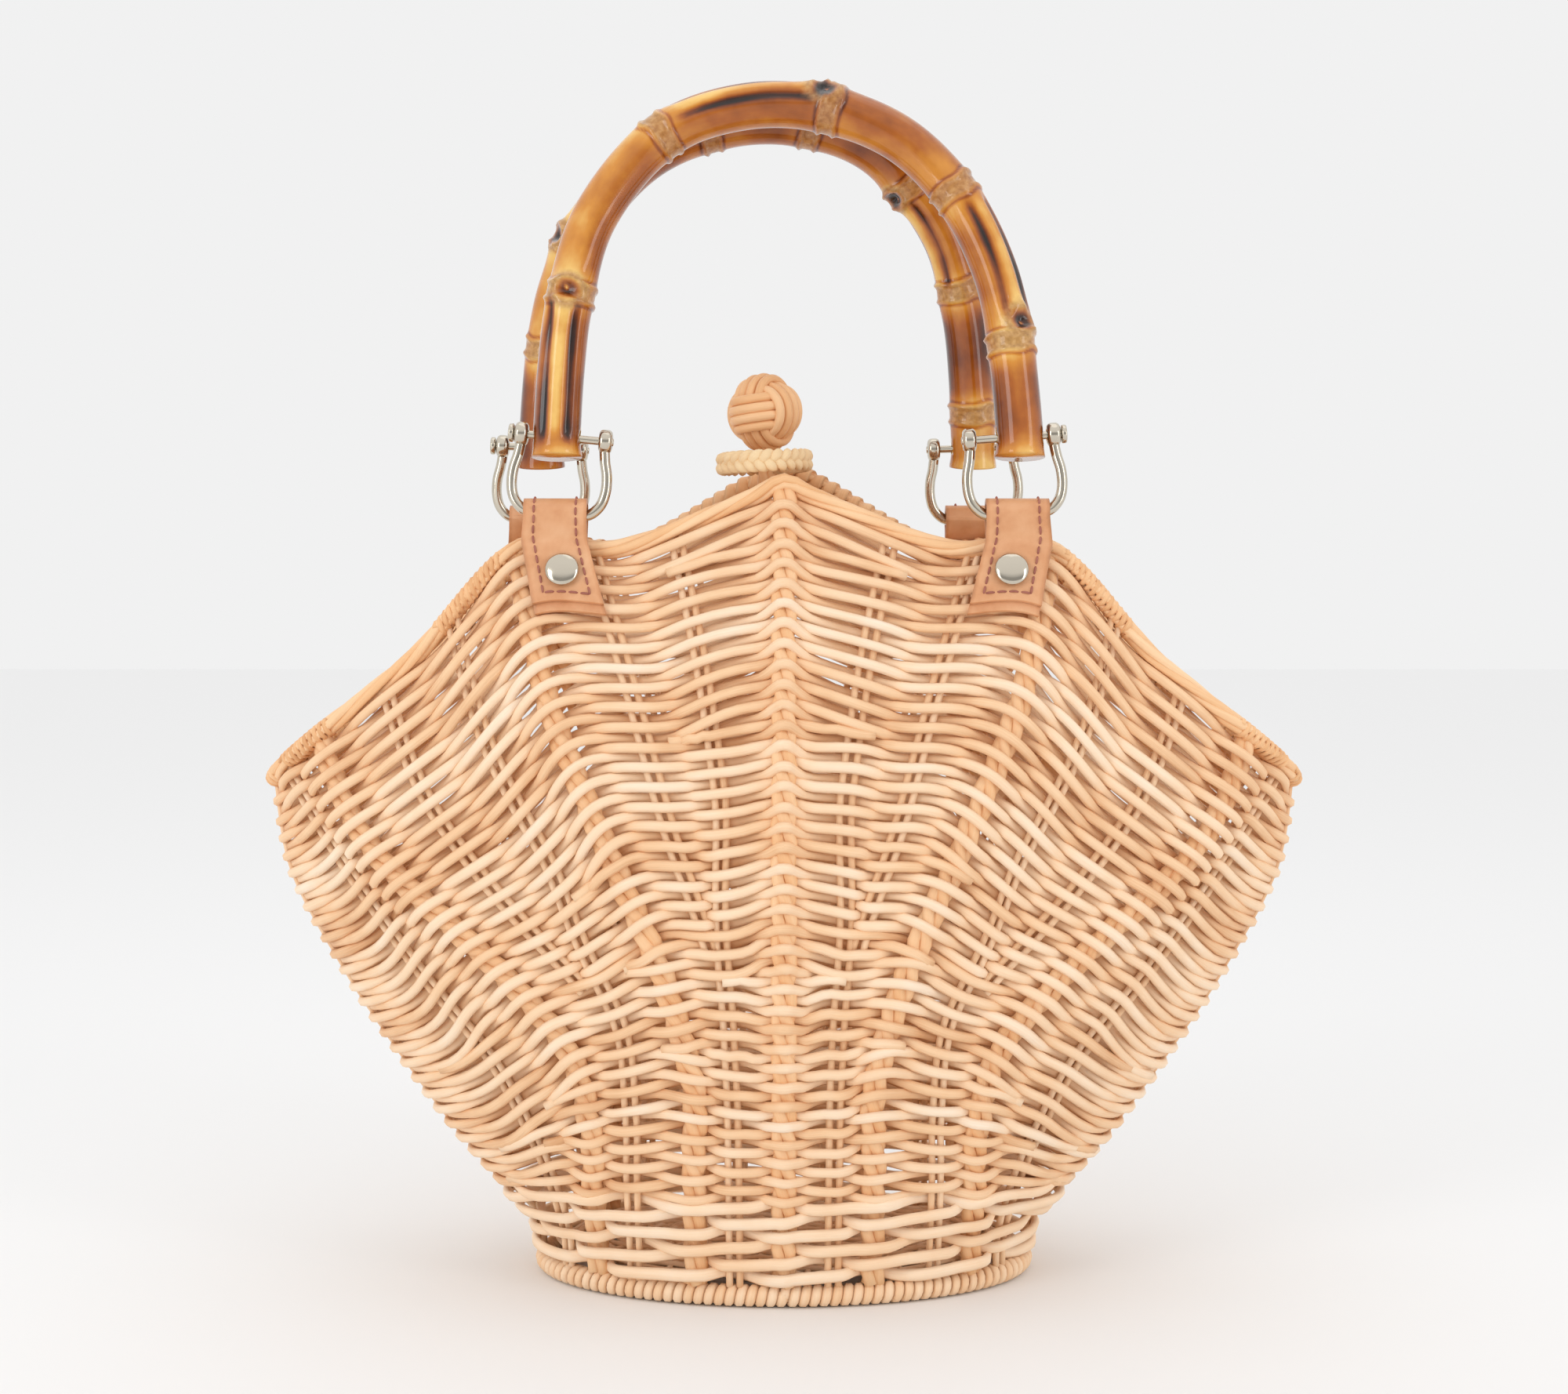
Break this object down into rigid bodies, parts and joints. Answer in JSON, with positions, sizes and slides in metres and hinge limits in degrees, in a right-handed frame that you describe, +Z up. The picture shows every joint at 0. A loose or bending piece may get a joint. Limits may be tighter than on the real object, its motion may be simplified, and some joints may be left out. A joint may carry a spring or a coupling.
{
  "type": "straw basket bag",
  "caption": "Fan-shaped woven rattan handbag on an oval foot, with a ball-and-loop closure and arched bamboo handles on swinging metal shackles and leather tabs.",
  "frame": {"origin": "on the floor under the middle of the bag", "axes": "+X to the bag's right seen from the front, -Y to the front, +Z up"},
  "size_m": [0.3222, 0.122, 0.3661],
  "materials": {
    "rattan": "natural round reed, matt",
    "rattan_binding": "wrapped reed, satin",
    "straw_braid": "pale braided straw",
    "leather": "smooth tan leather with stitching",
    "metal": "polished pale plating",
    "bamboo": "scorched and lacquered bamboo, glossy"
  },
  "bodies": {
    "basket": {"basket_body": "rattan", "foot_border": "rattan_binding", "base_panel": "rattan", "rim_binding": "rattan_binding", "closure_loop": "straw_braid", "closure_knob": "rattan", "tab_front_left": "leather", "tab_front_right": "leather", "tab_back_left": "leather", "tab_back_right": "leather", "rivet_front_left": "metal", "rivet_front_right": "metal", "rivet_back_left": "metal", "rivet_back_right": "metal"},
    "front_shackles": {"shackle_front_left": "metal", "pin_front_left": "metal", "shackle_front_right": "metal", "pin_front_right": "metal"},
    "front_handle": {"handle_front": "bamboo"},
    "back_shackles": {"shackle_back_left": "metal", "pin_back_left": "metal", "shackle_back_right": "metal", "pin_back_right": "metal"},
    "back_handle": {"handle_back": "bamboo"}
  },
  "joints": [
    {"name": "front_shackle_swing", "type": "hinge", "parent": "basket", "child": "front_shackles", "pos_m": [0, -0.03033, 0.23541], "axis": [1, 0, 0], "range_deg": [0, 50]},
    {"name": "front_handle_swing", "type": "hinge", "parent": "front_shackles", "child": "front_handle", "pos_m": [0, -0.02752, 0.25824], "axis": [1, 0, 0], "range_deg": [0, 80]},
    {"name": "back_shackle_swing", "type": "hinge", "parent": "basket", "child": "back_shackles", "pos_m": [0, 0.03047, 0.23429], "axis": [-1, 0, 0], "range_deg": [0, 50]},
    {"name": "back_handle_swing", "type": "hinge", "parent": "back_shackles", "child": "back_handle", "pos_m": [0, 0.02767, 0.25712], "axis": [-1, 0, 0], "range_deg": [0, 80]}
  ]
}
